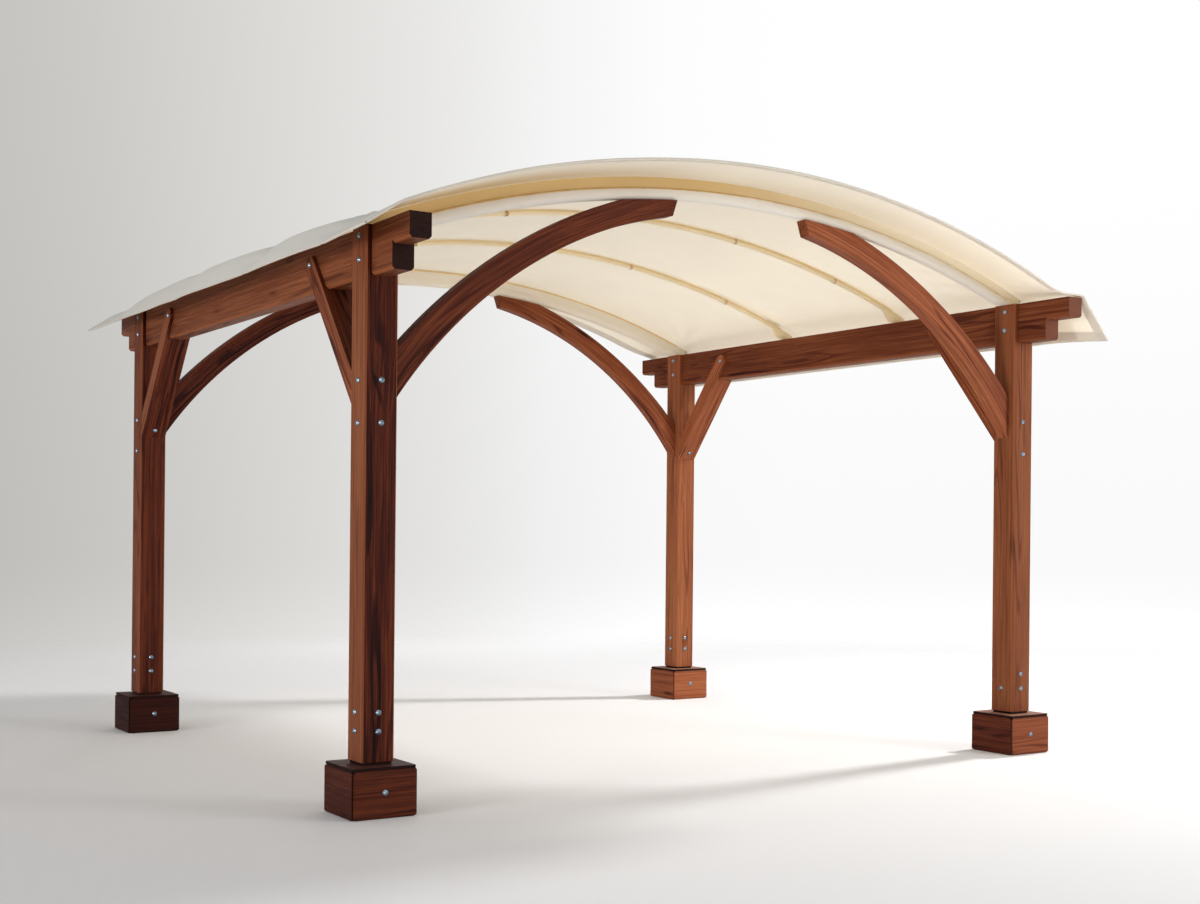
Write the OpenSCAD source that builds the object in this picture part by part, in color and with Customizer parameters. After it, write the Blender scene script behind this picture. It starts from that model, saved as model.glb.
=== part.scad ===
// Timber pergola under a barrel-vaulted fabric canopy.
// Four posts stand on capped plinth blocks and carry two long eave beams in forked tops.
// Curved arch braces spread from the posts to the two end ribs, and straight knee braces
// lap the beams with forked tongues. Millimetres, +Z up, origin on the ground under the
// middle of the plan. X runs across the vault and Y runs along the beams.

/* [Frame] */
// Distance between post centres across the vault
span_x = 3920; // [3200:10:4800]
// Distance between post centres along the beams
span_y = 3200; // [2600:10:4000]
// Height of the beam tops above the ground
eave_h = 2505; // [2080:5:3020]
// Clearance in the timber joints, on each side
joint_gap = 1; // [0.5:0.5:3]

/* [Plinth blocks] */
// Width of a plinth block, which is square in plan
base_w = 302; // [250:2:370]
// Height of a plinth block without its cap
base_h = 205; // [150:5:260]
// Bevel on the upright corners of a plinth block
base_bevel = 6; // [2:1:15]
// How far the cap stands back from the faces of its block
cap_inset = 5; // [2:1:15]
// Thickness of the cap
cap_t = 12; // [8:1:25]
// Height of the packer between the cap and the post
shoe_t = 12; // [6:1:25]
// How far the packer stands back from the post's faces
shoe_inset = 6; // [3:1:15]

/* [Posts] */
// Width of a post, which is square
post_w = 150; // [120:1:190]
// Bevel on the post's edges
post_bevel = 7; // [2:1:15]

/* [Eave beams] */
// Width of a beam
beam_w = 100; // [70:1:120]
// Depth of a beam
beam_d = 215; // [150:1:240]
// Depth of the upper part of a beam's tail
tail_d = 108; // [70:1:130]
// How far the upper part of a tail runs past the post
tail_long = 360; // [250:5:450]
// How far the lower part of a tail runs past the post
tail_short = 200; // [100:5:240]
// Bevel on the lower edges of a beam
beam_bevel = 12; // [4:1:20]

/* [Arch braces] */
// Thickness of a curved brace
arch_t = 70; // [45:1:90]
// Radius of a curved brace's upper edge
arch_top_r = 2700; // [2400:50:4000]
// Radius of a curved brace's lower edge
arch_low_r = 2300; // [2000:50:3500]
// Height from the brace's upper edge at the post up to the beam top
arch_drop = 521; // [450:1:650]
// Height of the brace's foot against the post
arch_foot_h = 224; // [180:1:280]
// Distance from the middle of the vault to the brace's tip
arch_tip_x = 400; // [250:10:600]
// Height of timber left at the tip
arch_tip_h = 74; // [50:1:110]
// Height of timber that the rib's seat takes off the tip
arch_seat_cut = 55; // [20:1:90]
// Lean of the sawn tip, off the upright
arch_tip_lean = 18; // [0:1:30]

/* [Knee braces] */
// Depth of a knee brace
knee_d = 88; // [70:1:120]
// Width of a knee brace, across its two tongues
knee_w = 140; // [125:1:150]
// Distance along the beam from the post's face to the tongue's bolt
knee_run = 485; // [400:5:600]
// Height of the tongue's bolt above the underside of the beam
knee_bolt_up = 126; // [80:1:150]
// Slope of a knee brace, off the level
knee_slope = 51; // [45:1:65]

/* [Canopy] */
// Rise of the cloth from the posts' outer corners to the crown
vault_rise = 405; // [340:5:500]
// Clearance between the cloth and the posts' outer corners
cloth_clear = 25; // [10:1:40]
// Thickness of the cloth
cloth_t = 5; // [3:0.5:8]
// How far the cloth runs past the posts' outer faces at the eaves
eave_over = 175; // [80:5:300]
// How far past the posts' outer faces the cloth folds down to its eave hem
fold_out = 15; // [5:1:40]
// Drop of the left hem below the fold
drop_left = 126; // [60:2:160]
// Drop of the right hem below the fold, where the cloth hangs lower
drop_right = 214; // [60:2:240]
// How far the cloth runs past the middle of the end ribs
gable_over = 450; // [300:10:650]

/* [Ribs] */
// Depth of an end rib
end_rib_d = 110; // [60:1:130]
// Thickness of an end rib
end_rib_t = 48; // [30:1:70]
// Depth of a middle rib
mid_rib_d = 28; // [20:1:50]
// Thickness of a middle rib
mid_rib_t = 28; // [20:1:50]
// How far the two middle ribs stand forward of even spacing
mid_rib_shift = 130; // [0:5:250]

/* [Hidden] */
CORNERS = [["front_left", -1, -1], ["front_right", 1, -1], ["rear_left", -1, 1], ["rear_right", 1, 1]];
CORNER_PARTS = ["base_block", "base_cap", "post_shoe", "post", "arch_brace", "knee_brace"];
BEAMS = [["beam_left", -1], ["beam_right", 1]];
RIBS = [["rib_front", -3], ["rib_mid_front", -1], ["rib_mid_rear", 1], ["rib_rear", 3]];

$fn = 720;
slack = 10;                                    // overshoot of a cutting body
post_z = base_h + cap_t + shoe_t;              // underside of a post
beam_z = eave_h - beam_d;                      // underside of a beam
slot_w = beam_w + 2 * joint_gap;               // slot of a post's fork and of a brace's fork
post_x = span_x / 2;
post_y = span_y / 2;
face_x = post_x - post_w / 2;                  // inner face of a post, across the vault
face_y = post_y - post_w / 2;                  // inner face of a post, along the beams

// The vault's underside is an arc over the posts' outer corners.
vault_half = post_x + post_w / 2;
vault_r = (pow(vault_half, 2) + pow(vault_rise, 2)) / (2 * vault_rise);
vault_z = eave_h + cloth_clear + vault_rise - vault_r;
fold_x = vault_half + fold_out;
fold_z = vault_z + sqrt(pow(vault_r, 2) - pow(fold_x, 2));
hem_x = vault_half + eave_over;
cloth_len = span_y + 2 * gable_over;
seat_r = vault_r - end_rib_d;                  // underside of an end rib

// The two edges of an arch brace curve from the post's face to its tip under the rib.
foot_z = eave_h - arch_drop;
tip_z = vault_z + sqrt(pow(seat_r, 2) - pow(arch_tip_x, 2));
top_centre = arc_centre([face_x, foot_z], [arch_tip_x, tip_z + arch_seat_cut], arch_top_r);
low_centre = arc_centre([face_x, foot_z - arch_foot_h], [arch_tip_x, tip_z - arch_tip_h], arch_low_r);

// The centre of the arc from a to b that lies on its left-hand side.
function arc_centre(a, b, r) =
    let (way = b - a, half = norm(way) / 2)
    (a + b) / 2 + sqrt(pow(r, 2) - pow(half, 2)) * [-way[1], way[0]] / (2 * half);

// The middle of a knee brace meets the post's face here.
knee_z = beam_z + knee_bolt_up - knee_run * tan(knee_slope);
knee_len = knee_run / cos(knee_slope);

timber_dark = [0.33, 0.16, 0.11];
timber_mid = [0.44, 0.23, 0.14];
timber_light = [0.55, 0.31, 0.19];
cloth_colour = [0.93, 0.89, 0.80];
sleeve_colour = [0.82, 0.76, 0.64];

// A square bar standing on its end, with bevelled upright edges.
module square_bar(w, h, bevel) {
    a = w / 2;
    b = a - bevel;
    linear_extrude(h)
        polygon([[b, -a], [a, -b], [a, b], [b, a], [-b, a], [-a, b], [-a, -b], [-b, -a]]);
}

// An upright section in X and Z, run along Y from -len/2 to len/2.
module along_y(len) {
    rotate([90, 0, 0]) translate([0, 0, -len / 2]) linear_extrude(len) children();
}

// A round bar along Y about the axis of the vault.
module vault_drum(r, len) {
    translate([0, 0, vault_z]) rotate([90, 0, 0]) cylinder(r = r, h = len, center = true);
}

// A beam's section, with its lower edges bevelled.
module beam_section(top, depth) {
    a = beam_w / 2;
    polygon([[-a, top], [-a, top - depth + beam_bevel], [-a + beam_bevel, top - depth],
             [a - beam_bevel, top - depth], [a, top - depth + beam_bevel], [a, top]]);
}

module base_block() {
    color(timber_mid) square_bar(base_w, base_h, base_bevel);
}

module base_cap() {
    color(timber_dark) translate([0, 0, base_h])
        square_bar(base_w - 2 * cap_inset, cap_t, base_bevel);
}

module post_shoe() {
    color(timber_dark) translate([0, 0, base_h + cap_t])
        square_bar(post_w - 2 * shoe_inset, shoe_t, post_bevel);
}

// The top is an open fork, and the beam sits on its shoulder.
module post() {
    color(timber_light) difference() {
        translate([0, 0, post_z]) square_bar(post_w, eave_h - post_z, post_bevel);
        translate([-slot_w / 2, -post_w / 2 - slack, beam_z])
            cube([slot_w, post_w + 2 * slack, beam_d + slack]);
    }
}

// The lower part of each tail stops short of the upper part.
module beam() {
    color(timber_mid) {
        along_y(span_y + post_w + 2 * tail_short) beam_section(eave_h, beam_d);
        along_y(span_y + post_w + 2 * tail_long) beam_section(eave_h, tail_d);
    }
}

// A curved brace at the +X side, with its foot on the post and its tip sawn under the rib.
module arch_brace_profile() {
    saw = arch_foot_h + arch_tip_h;
    saw_run = saw * tan(arch_tip_lean);
    difference() {
        intersection() {
            translate(top_centre) circle(r = arch_top_r);
            translate([0, vault_z]) circle(r = seat_r);
            polygon([[face_x, foot_z - saw], [face_x, eave_h + vault_rise],
                     [arch_tip_x - saw_run, tip_z + saw], [arch_tip_x + saw_run, tip_z - saw]]);
        }
        translate(low_centre) circle(r = arch_low_r);
    }
}

module arch_brace() {
    color(timber_light) along_y(arch_t) arch_brace_profile();
}

// A straight brace on the +Y side of a post, in the post's own Y and Z: its top laps the
// beam with two tongues, rounded about their bolt, and its foot is sawn to the post's face.
module knee_brace_profile() {
    translate([0, knee_z]) intersection() {
        rotate(knee_slope) union() {
            translate([-2 * knee_d, -knee_d / 2]) square([knee_len + 2 * knee_d, knee_d]);
            translate([knee_len, 0]) circle(d = knee_d);
        }
        translate([0, -2 * knee_d]) square(2 * knee_len);
    }
}

module knee_brace() {
    color(timber_light) difference() {
        rotate([90, 0, 90]) translate([0, 0, -knee_w / 2]) linear_extrude(knee_w) knee_brace_profile();
        translate([-slot_w / 2, -slack, beam_z]) cube([slot_w, knee_len + slack, beam_d + slack]);
    }
}

// A space across the vault, above the beam tops and under its crown.
module vault_band(half, len) {
    translate([-half, -len / 2, eave_h]) cube([2 * half, len, 2 * vault_rise]);
}

// An arched rib, with feet that fill the gap between the arch and the beam tops.
module rib(depth, thick) {
    color(sleeve_colour) difference() {
        intersection() {
            vault_drum(vault_r, thick);
            vault_band(post_x + beam_w / 2, thick);
        }
        intersection() {
            vault_drum(vault_r - depth, thick + 2 * slack);
            vault_band(post_x - beam_w / 2, thick + 2 * slack);
        }
    }
}

// A rib that stands so many sixths of the posts' spacing from the middle.
module rib_at(sixths) {
    at_end = abs(sixths) == 3;
    translate([0, sixths * span_y / 6 - (at_end ? 0 : mid_rib_shift), 0])
        rib(at_end ? end_rib_d : mid_rib_d, at_end ? end_rib_t : mid_rib_t);
}

// The cloth folds down beyond the posts to a hem along each eave.
module eave_flap(drop) {
    polygon([[fold_x, fold_z], [hem_x, fold_z - drop], [hem_x, fold_z - drop + cloth_t],
             [fold_x, fold_z + cloth_t]]);
}

module canopy() {
    color(cloth_colour) {
        intersection() {
            difference() {
                vault_drum(vault_r + cloth_t, cloth_len);
                vault_drum(vault_r, cloth_len + 2 * slack);
            }
            vault_band(fold_x, cloth_len);
        }
        along_y(cloth_len) eave_flap(drop_right);
        along_y(cloth_len) mirror([1, 0]) eave_flap(drop_left);
    }
}

// Places a part made at the front left, so that it faces the middle of the plan.
module at_post(c) {
    translate([c[1] * post_x, c[2] * post_y, 0]) children();
}

module corner_part(part, c) {
    if (part == "base_block") at_post(c) base_block();
    if (part == "base_cap") at_post(c) base_cap();
    if (part == "post_shoe") at_post(c) post_shoe();
    if (part == "post") at_post(c) post();
    if (part == "arch_brace")
        translate([0, c[2] * post_y, 0]) mirror([c[1] < 0 ? 1 : 0, 0, 0]) arch_brace();
    if (part == "knee_brace")
        translate([c[1] * post_x, c[2] * face_y, 0]) mirror([0, c[2] > 0 ? 1 : 0, 0]) knee_brace();
}

for (part = CORNER_PARTS) for (c = CORNERS)
    corner_part(part, c);
for (b = BEAMS)
    translate([b[1] * post_x, 0, 0]) beam();
for (r = RIBS)
    rib_at(r[1]);
canopy();
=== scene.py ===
# %% [markdown]
# # A timber pergola under a vaulted cloth
# The part is an open timber frame: four posts on boxed plinths, two long eave beams, curved
# arch braces, straight knee braces, and a cream cloth held up by four sewn rib sleeves.
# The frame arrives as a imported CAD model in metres, with +Z up and +Y running along the beams.
# Blender only adds looks, so the sound timber solids stay and get new materials, while the
# cloth, its sleeves and the boxed plinths are built again here with finer detail.

# %% Load the frame
import math

import bmesh
import bpy
from mathutils import Matrix, Vector, noise


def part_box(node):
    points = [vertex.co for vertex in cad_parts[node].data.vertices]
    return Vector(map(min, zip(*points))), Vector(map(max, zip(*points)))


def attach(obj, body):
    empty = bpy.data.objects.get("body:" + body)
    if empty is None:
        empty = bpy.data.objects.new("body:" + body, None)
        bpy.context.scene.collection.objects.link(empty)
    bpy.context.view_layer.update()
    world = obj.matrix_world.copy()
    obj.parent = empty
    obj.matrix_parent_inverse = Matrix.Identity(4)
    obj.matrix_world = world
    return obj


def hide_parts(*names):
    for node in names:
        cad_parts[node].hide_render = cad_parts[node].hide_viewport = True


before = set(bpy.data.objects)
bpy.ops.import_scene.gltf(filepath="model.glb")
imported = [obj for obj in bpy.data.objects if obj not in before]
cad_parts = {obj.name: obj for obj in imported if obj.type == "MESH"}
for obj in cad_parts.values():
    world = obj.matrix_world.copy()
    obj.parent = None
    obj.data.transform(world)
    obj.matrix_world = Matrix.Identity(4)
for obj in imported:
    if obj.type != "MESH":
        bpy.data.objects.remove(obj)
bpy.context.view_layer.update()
scene = bpy.context.scene


def in_scene(name, data):
    """Adds an object to the scene."""
    made = bpy.data.objects.new(name, data)
    scene.collection.objects.link(made)
    return made


# %% [markdown]
# ## Measures taken from the frame
# Nearly every place below comes from the boxes of the CAD nodes, and the few lengths written
# out are ones that a box can't show. The vault is one arc: its half span and rise give its
# radius, in the same way as the frame's own source works it out.

# %% Measures of the timber and of the vault
RIBS = ("front", "mid_front", "mid_rear", "rear")
post_low, post_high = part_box("post_front_right")
beam_low, beam_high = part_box("beam_right")
plinth_low, plinth_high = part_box("base_block_front_right")
knee_low, knee_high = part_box("knee_brace_front_right")
cloth_low, cloth_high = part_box("canopy")
rib_boxes = [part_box(f"rib_{name}") for name in RIBS]

POST_X = (post_low.x + post_high.x) / 2
POST_Y = abs(post_low.y + post_high.y) / 2
POST_HALF = (post_high.x - post_low.x) / 2
BEAM_TOP, BEAM_UNDER = beam_high.z, beam_low.z
BEAM_HALF = (beam_high.x - beam_low.x) / 2
BEAM_IN, BEAM_OUT = POST_X - BEAM_HALF, POST_X + BEAM_HALF
RIB_Y = [(low.y + high.y) / 2 for low, high in rib_boxes]
END_RIB_HALF = (rib_boxes[0][1].y - rib_boxes[0][0].y) / 2

CLOTH_THICK = 0.005
CLOTH_CLEAR = 0.025
FOLD_OUT = 0.015
END_RIB_DEEP = 0.110
MID_RIB_DEEP = 0.028
LEFT_DROP = 0.108

VAULT_HALF = POST_X + POST_HALF
VAULT_RISE = cloth_high.z - CLOTH_THICK - BEAM_TOP - CLOTH_CLEAR
VAULT_R = (VAULT_HALF ** 2 + VAULT_RISE ** 2) / (2 * VAULT_RISE)
VAULT_Z = BEAM_TOP + CLOTH_CLEAR + VAULT_RISE - VAULT_R
FOLD_X = VAULT_HALF + FOLD_OUT
FOLD_Z = VAULT_Z + math.sqrt(VAULT_R ** 2 - FOLD_X ** 2)
DROP = {-1: LEFT_DROP, 1: FOLD_Z - cloth_low.z}
HEM_X = cloth_high.x
CLOTH_END = cloth_high.y
print(f"vault radius {VAULT_R:.3f}, axis at z {VAULT_Z:.3f}")
print("ribs at y", [round(y, 3) for y in RIB_Y])

# %% [markdown]
# ## The camera
# The view is from the front left at chest height. The camera is held all but level, so that the
# posts stay upright, and a small vertical shift lowers the horizon in the frame in the way that
# an architect's shift lens does.

# %% Camera
CAMERA_PLACE = Vector((-4.774, -7.758, 1.223))
CAMERA_YAW = -0.5728
CAMERA_ROLL = 0.0095
FOCAL = 46.96
SHIFT = 0.0648

camera = in_scene("camera", bpy.data.cameras.new("camera"))
camera.data.lens = FOCAL
camera.data.sensor_width = 36
camera.data.shift_y = SHIFT
camera.matrix_world = (Matrix.Translation(CAMERA_PLACE)
                       @ Matrix.Rotation(CAMERA_YAW, 4, "Z")
                       @ Matrix.Rotation(math.pi / 2, 4, "X")
                       @ Matrix.Rotation(CAMERA_ROLL, 4, "Z"))
scene.camera = camera
print("camera at", tuple(camera.location), "lens", camera.data.lens)

# %% [markdown]
# ## Helpers for shader nodes
# `put` adds a node with its settings and inputs, and links whatever value is a socket. `add`
# does so in the tree that those sockets are in. `group` makes a node group whose sockets are
# named. The others are steps that the materials repeat: arithmetic, ramps, noise and mixing.

# %% Shader helpers
def put(tree, kind, inputs=None, **settings):
    """Adds a shader node. An input that is a socket is linked, and any other is set."""
    made = tree.nodes.new("ShaderNode" + kind)
    for name, value in settings.items():
        setattr(made, name, value)
    for key, value in (inputs or {}).items():
        if isinstance(value, bpy.types.NodeSocket):
            tree.links.new(value, made.inputs[key])
        else:
            made.inputs[key].default_value = value
    return made


def add(kind, inputs, **settings):
    """Adds a shader node to the tree that its linked inputs belong to."""
    tree = next(v.id_data for v in inputs.values() if isinstance(v, bpy.types.NodeSocket))
    return put(tree, kind, inputs, **settings)


def sums(operation, a, b=0.0, clamp=False):
    """One step of arithmetic on values."""
    return add("Math", {0: a, 1: b}, operation=operation, use_clamp=clamp).outputs[0]


def plus(a, b, clamp=False):
    return sums("ADD", a, b, clamp)


def minus(a, b, clamp=False):
    return sums("SUBTRACT", a, b, clamp)


def times(a, b):
    return sums("MULTIPLY", a, b)


def vectors(operation, inputs):
    """One step of arithmetic on vectors. Returns the node's outputs."""
    return add("VectorMath", inputs, operation=operation).outputs


def axes(vector):
    """The three parts of a vector."""
    return add("SeparateXYZ", {0: vector}).outputs


def coords(tree, kind="Object"):
    """The place on the surface, in the object's own coordinates or in another kind."""
    return put(tree, "TexCoord").outputs[kind]


def span(value, low, high, to_low=0.0, to_high=1.0):
    """Maps low..high to to_low..to_high smoothly, and holds it there."""
    inputs = {"Value": value, "From Min": low, "From Max": high,
              "To Min": to_low, "To Max": to_high}
    return add("MapRange", inputs, interpolation_type="SMOOTHSTEP").outputs["Result"]


def cloud(place, scale, detail, rough=0.5):
    """Soft noise from 0 to 1."""
    inputs = {"Vector": place, "Scale": scale, "Detail": detail, "Roughness": rough}
    return add("TexNoise", inputs).outputs["Fac"]


def ramp(value, stops):
    """Turns a value into a colour by a list of places and colours."""
    node = add("ValToRGB", {0: value})
    elements = node.color_ramp.elements
    for element, stop in ((elements[0], stops[0]), (elements[1], stops[-1])):
        element.position, element.color = stop
    for place, colour in stops[1:-1]:
        elements.new(place).color = colour
    return node.outputs["Color"]


def blend(factor, a, b, how="MIX"):
    """Mixes two colours."""
    return add("Mix", {0: factor, 6: a, 7: b}, data_type="RGBA", blend_type=how,
               clamp_factor=True).outputs[2]


print("node helpers ready")

# %% Groups, materials and colours
def group(name, inputs, outputs):
    """A node group with named sockets, and its input and output nodes."""
    tree = bpy.data.node_groups.new(name, "ShaderNodeTree")
    for label, kind, value in inputs:
        socket = tree.interface.new_socket(label, in_out="INPUT", socket_type="NodeSocket" + kind)
        if value is not None:
            socket.default_value = value
    for label, kind in outputs:
        tree.interface.new_socket(label, in_out="OUTPUT", socket_type="NodeSocket" + kind)
    return tree, tree.nodes.new("NodeGroupInput").outputs, tree.nodes.new("NodeGroupOutput").inputs


def use(shared, inputs):
    """Places a shared node group in a material and returns its outputs."""
    return add("Group", inputs, node_tree=shared).outputs


def blank_material(name):
    """A material with an empty tree but for its output."""
    material = bpy.data.materials.new(name)
    material.use_nodes = True
    material.node_tree.nodes.clear()
    return material, material.node_tree, put(material.node_tree, "OutputMaterial").inputs["Surface"]


def principled(name, build):
    """A material of one Principled BSDF, whose inputs are what build makes in its tree."""
    material, tree, surface = blank_material(name)
    tree.links.new(add("BsdfPrincipled", build(tree)).outputs[0], surface)
    return material


def tint(r, g, b):
    """A colour as it looks on a screen, from 0 to 255, in the linear values that Blender uses."""
    def linear(v):
        v /= 255
        return v / 12.92 if v <= 0.04045 else ((v + 0.055) / 1.055) ** 2.4
    return (linear(r), linear(g), linear(b), 1.0)


def dimmed(colour, by):
    """A darker version of a colour."""
    return tuple(c * by for c in colour[:3]) + (1.0,)


print("mid grey is", round(tint(128, 128, 128)[0], 3), "in linear values")

# %% [markdown]
# ## The grain of oiled hardwood
# Sawn hardwood shows broad bands where the growth rings meet the face, fine pale and dark
# streaks, a few near-black knots, and open pores that catch the oil. A picture of wood would
# stretch on a curved brace, so the grain is a solid pattern. It is a group that takes
# coordinates with X along the fibres, in metres, so each piece can lay the wood its own way.

# %% Group: timber grain
GRAIN_STOPS = ((0.0, tint(26, 9, 7)), (0.25, tint(62, 25, 16)), (0.50, tint(106, 55, 32)),
               (0.75, tint(150, 90, 57)), (1.0, tint(188, 128, 86)))
RED_TINT, KNOT_TINT, PORE_TINT = tint(236, 168, 158), tint(24, 10, 8), tint(34, 14, 11)
# Each mark is noise drawn out along the fibres: its pitch per metre along, across and through
# the wood, its detail and its roughness.
MARKS = {"wander": ((0.8, 4.0, 4.0), 2.0, 0.5), "broad": ((0.6, 7.0, 7.0), 2.0, 0.5),
         "streak": ((1.3, 95.0, 95.0), 4.0, 0.6), "fine": ((5.0, 290.0, 290.0), 2.0, 0.6),
         "rings": ((0.50, 8.0, 8.0), 1.5, 0.45), "ringed": ((0.7, 9.0, 9.0), 1.0, 0.5)}
KNOT_PITCH = (1.5, 8.5, 8.5)
RING_COUNT = 70.0
RING_EDGE, RINGED_EDGE = (0.45, 0.98), (0.42, 0.60)
KNOT_EDGE, PORE_EDGE = (0.04, 0.15, 1.0, 0.0), (0.58, 0.70)
SEED_SHIFT = (13.7, 2.9, 4.3)
WANDER_ACROSS, WANDER_THROUGH = 0.06, 0.05
BROAD_SHOWS, STREAK_SHOWS, FINE_SHOWS, RINGS_SHOW = 0.65, 1.15, 0.60, 0.32
KNOTS_DARKEN, PORES_DARKEN = 0.80, 0.30
ROUGH, ROUGH_FALL, ROUGH_PORES = 0.60, 0.12, 0.2
PORES_DEEP, RINGS_DEEP = 0.5, 0.2


def make_grain():
    tree, i, o = group(
        "timber grain",
        [("Fibre", "Vector", None), ("Seed", "Float", 0.0), ("Tone", "Float", 0.5),
         ("Red", "Float", 0.5), ("Figure", "Float", 1.0)],
        [("Color", "Color"), ("Roughness", "Float"), ("Height", "Float")])
    shift = vectors("SCALE", {0: SEED_SHIFT, "Scale": i["Seed"]})[0]
    base = vectors("ADD", {0: i["Fibre"], 1: shift})[0]

    def field(vector, mark):
        pitch, detail, rough = MARKS[mark]
        return cloud(vectors("MULTIPLY", {0: vector, 1: pitch})[0], 1.0, detail, rough)

    def weigh(value, amount):
        return times(minus(value, 0.5), amount)

    wander = field(base, "wander")
    drift = add("CombineXYZ", {1: weigh(wander, WANDER_ACROSS),
                               2: weigh(wander, WANDER_THROUGH)}).outputs[0]
    bent = vectors("ADD", {0: base, 1: drift})[0]
    broad, streak, fine = field(base, "broad"), field(bent, "streak"), field(bent, "fine")
    rings = sums("SINE", times(field(bent, "rings"), RING_COUNT))
    rings = times(span(rings, *RING_EDGE), span(field(base, "ringed"), *RINGED_EDGE))
    cells = vectors("MULTIPLY", {0: bent, 1: KNOT_PITCH})[0]
    far = add("TexVoronoi", {"Vector": cells, "Scale": 1.0}).outputs["Distance"]
    knots = span(far, *KNOT_EDGE)
    pores = span(fine, *PORE_EDGE)

    marks = plus(weigh(broad, BROAD_SHOWS), weigh(streak, STREAK_SHOWS))
    marks = minus(plus(marks, weigh(fine, FINE_SHOWS)), times(rings, RINGS_SHOW))
    level = plus(i["Tone"], times(marks, i["Figure"]), clamp=True)
    colour = blend(i["Red"], ramp(level, GRAIN_STOPS), RED_TINT, "MULTIPLY")
    colour = blend(times(knots, KNOTS_DARKEN), colour, KNOT_TINT)
    colour = blend(times(pores, PORES_DARKEN), colour, PORE_TINT)
    tree.links.new(colour, o["Color"])
    rough = minus(ROUGH, times(level, ROUGH_FALL))
    tree.links.new(plus(rough, times(pores, ROUGH_PORES)), o["Roughness"])
    height = minus(weigh(streak, 1.0), times(pores, PORES_DEEP))
    tree.links.new(minus(height, times(rings, RINGS_DEEP)), o["Height"])
    return tree


GRAIN = make_grain()
print("group", GRAIN.name, "has", len(GRAIN.nodes), "nodes")

# %% [markdown]
# ## Arrises and sawn ends
# A planed arris is handled and rained on more than a face, so it goes paler, and its pale colour
# is also a painted highlight, standing for the light that a rounded arris catches. A sawn end
# drinks oil and goes nearly black. Both can be told from the way a face looks: a bevel looks
# between two axes, and a sawn end looks along the fibres. The group below turns a direction
# into those two masks.

# %% Group: arris and end masks
ARRIS_FROM, ARRIS_FULL = 0.30, 0.46
END_FROM, END_FULL = 0.80, 0.95


def make_masks():
    tree, i, o = group("arris and end",
                       [("Normal", "Vector", None), ("Fibre axis", "Vector", None)],
                       [("Arris", "Float"), ("End", "Float")])
    along = vectors("DOT_PRODUCT", {0: i["Normal"], 1: i["Fibre axis"]})["Value"]
    n = axes(i["Normal"])
    pairs = [sums("ABSOLUTE", times(n[a], n[b])) for a, b in ((0, 1), (0, 2), (1, 2))]
    most = sums("MAXIMUM", pairs[0], sums("MAXIMUM", pairs[1], pairs[2]))
    tree.links.new(span(most, ARRIS_FROM, ARRIS_FULL), o["Arris"])
    tree.links.new(span(sums("ABSOLUTE", along), END_FROM, END_FULL), o["End"])
    return tree


MASKS = make_masks()
print("group", MASKS.name, "ready")

# %% [markdown]
# ## Fibres along a post, a beam, a slope and a curve
# Wood is sawn along its fibres, and a curved brace is bent or laminated so that its fibres
# follow the curve. Posts, beams and boards only swap the axes. A knee brace turns them by its
# slope. For an arch brace the arc length round the curve's centre is the fibre direction.

# %% Fibre coordinates
ARCH_R = 2.700
ARCH_X, ARCH_Z = -0.162, 0.224
KNEE_SLOPE = math.radians(51)


def fibre_straight(order):
    """Object coordinates in an order whose first one runs along the fibres."""
    def fibre(tree):
        parts = axes(coords(tree))
        return add("CombineXYZ",
                   {k: parts["XYZ".index(axis)] for k, axis in enumerate(order)}).outputs[0]
    return fibre


def fibre_sloped(tree):
    """Along the slope of a knee brace, which is the same at both ends but for its hand."""
    parts = axes(coords(tree))
    run = sums("ABSOLUTE", parts[1])
    cos, sin = math.cos(KNEE_SLOPE), math.sin(KNEE_SLOPE)
    along = minus(times(parts[2], sin), times(run, cos))
    square = plus(times(parts[2], cos), times(run, sin))
    return add("CombineXYZ", {0: along, 1: square, 2: parts[0]}).outputs[0]


def fibre_arched(tree):
    """Along the curve of an arch brace."""
    parts = axes(coords(tree))
    dx = minus(sums("ABSOLUTE", parts[0]), ARCH_X)
    dz = minus(parts[2], ARCH_Z)
    flat = add("CombineXYZ", {0: dx, 1: dz}).outputs[0]
    out = minus(vectors("LENGTH", {0: flat})["Value"], ARCH_R)
    along = times(sums("ARCTAN2", dz, dx), ARCH_R)
    return add("CombineXYZ", {0: along, 1: out, 2: parts[1]}).outputs[0]


print("fibres run along posts, beams, slopes and curves")

# %% [markdown]
# ## Oiled timber
# One function makes the timber of every piece. Each piece gets a seed, so that no two show the
# same figure, and a tone, because heartwood and sapwood differ from board to board. The posts on
# the left are also given darker tones and those on the right paler ones, as painted shade and
# painted light. The two faces of a post or knee brace that look along X are painted paler, less
# red and less figured: painted light, standing for the soft light on a post's sides. The oil
# leaves a low satin shine, which a Principled BSDF gives with a roughness near one half.

# %% Timber material
# Painted light on the sides: how much the red and the figure fade on the paler faces.
PAINTED_SIDE_LESS_RED, PAINTED_SIDE_LESS_FIGURE = 3.0, 1.7
# The arris colour is partly wear and partly a painted highlight.
ARRIS_WEAR_AND_HIGHLIGHT, END_TINT = tint(156, 88, 50), tint(16, 5, 6)


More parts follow.
